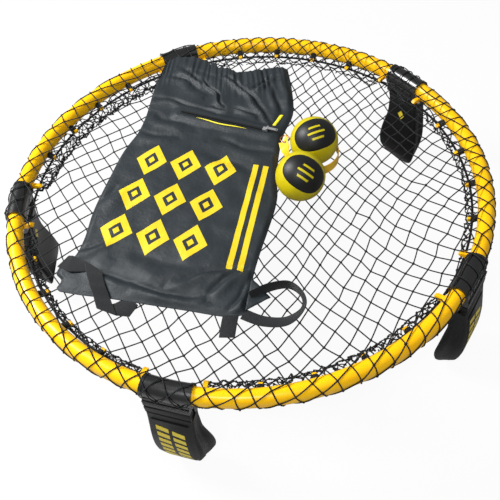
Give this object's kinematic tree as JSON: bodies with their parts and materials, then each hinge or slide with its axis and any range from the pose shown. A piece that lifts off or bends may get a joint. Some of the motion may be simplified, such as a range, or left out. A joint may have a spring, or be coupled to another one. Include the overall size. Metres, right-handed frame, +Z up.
{
  "type": "roundnet set",
  "caption": "Round yellow ring on folding black legs with a taut diamond net, two rubber balls, a drawstring bag and a ball gauge strip lying on the net.",
  "frame": {"origin": "on the floor, on the axis of the ring of tubes", "axes": "+Z up along the ring's axis; one leg stands on -Y, the others every 72 degrees round"},
  "size_m": [0.9144, 0.9263, 0.3437],
  "materials": {
    "tube_plastic": "satin gloss",
    "housing_plastic": "semi-gloss",
    "leg_plastic": "fine texture",
    "pin_steel": "zinc plated",
    "net_twine": "braided twine",
    "ball_rubber": "matte pebbled",
    "valve_rubber": "matte",
    "gauge_plastic": "satin",
    "ring_copper": "polished",
    "bag_nylon": "coated plain weave",
    "webbing": "woven webbing",
    "label_fabric": "woven label",
    "zip_tape_fabric": "herringbone tape",
    "zip_nylon": "moulded coil",
    "piping_fabric": "bound piping",
    "slider_metal": "nickel plated"
  },
  "bodies": {
    "ring": {"rim_1": "tube_plastic", "rim_2": "tube_plastic", "rim_3": "tube_plastic", "rim_4": "tube_plastic", "rim_5": "tube_plastic", "housing_1": "housing_plastic", "housing_2": "housing_plastic", "housing_3": "housing_plastic", "housing_4": "housing_plastic", "housing_5": "housing_plastic", "hinge_pin_1": "pin_steel", "hinge_pin_2": "pin_steel", "hinge_pin_3": "pin_steel", "hinge_pin_4": "pin_steel", "hinge_pin_5": "pin_steel", "net": "net_twine", "net_rope": "net_twine"},
    "leg_1": {"leg_1": "leg_plastic"},
    "leg_2": {"leg_2": "leg_plastic"},
    "leg_3": {"leg_3": "leg_plastic"},
    "leg_4": {"leg_4": "leg_plastic"},
    "leg_5": {"leg_5": "leg_plastic"},
    "ball_front": {"ball_front": "ball_rubber", "ball_front_valve": "valve_rubber"},
    "ball_rear": {"ball_rear": "ball_rubber", "ball_rear_valve": "valve_rubber"},
    "bag": {"bag_body": "bag_nylon", "bag_casing": "bag_nylon", "bag_label": "label_fabric", "bag_strap_left": "webbing", "bag_tab_left": "webbing", "bag_strap_right": "webbing", "bag_tab_right": "webbing", "zip_tape": "zip_tape_fabric", "zip_coil": "zip_nylon", "zip_piping": "piping_fabric", "gauge_strip": "gauge_plastic", "split_ring": "ring_copper"},
    "zip_slider": {"zip_slider": "slider_metal"},
    "zip_pull": {"zip_pull": "slider_metal"}
  },
  "joints": [
    {"name": "leg_1_fold", "type": "hinge", "parent": "ring", "child": "leg_1", "pos_m": [0, -0.4412, 0.201], "axis": [1, 0, 0], "range_deg": [0, 90]},
    {"name": "leg_2_fold", "type": "hinge", "parent": "ring", "child": "leg_2", "pos_m": [0.41961, -0.13634, 0.201], "axis": [0.309, 0.9511, 0], "range_deg": [0, 90]},
    {"name": "leg_3_fold", "type": "hinge", "parent": "ring", "child": "leg_3", "pos_m": [0.25933, 0.35694, 0.201], "axis": [-0.809, 0.5878, 0], "range_deg": [0, 90]},
    {"name": "leg_4_fold", "type": "hinge", "parent": "ring", "child": "leg_4", "pos_m": [-0.25933, 0.35694, 0.201], "axis": [-0.809, -0.5878, 0], "range_deg": [0, 90]},
    {"name": "leg_5_fold", "type": "hinge", "parent": "ring", "child": "leg_5", "pos_m": [-0.41961, -0.13634, 0.201], "axis": [0.309, -0.9511, 0], "range_deg": [0, 90]},
    {"name": "ball_front_lift", "type": "slide", "parent": "ring", "child": "ball_front", "axis": [0, 0, 1], "range_m": [0, 0.3]},
    {"name": "ball_rear_lift", "type": "slide", "parent": "ring", "child": "ball_rear", "axis": [0, 0, 1], "range_m": [0, 0.3]},
    {"name": "bag_lift", "type": "slide", "parent": "ring", "child": "bag", "axis": [0, 0, 1], "range_m": [0, 0.3]},
    {"name": "zip_slide", "type": "slide", "parent": "bag", "child": "zip_slider", "axis": [-0.992, 0.1265, 0], "range_m": [0, 0.1826]},
    {"name": "zip_pull_hinge", "type": "hinge", "parent": "zip_slider", "child": "zip_pull", "pos_m": [0.01453, 0.11844, 0.2742], "axis": [-0.1265, -0.992, 0], "range_deg": [0, 150]}
  ]
}
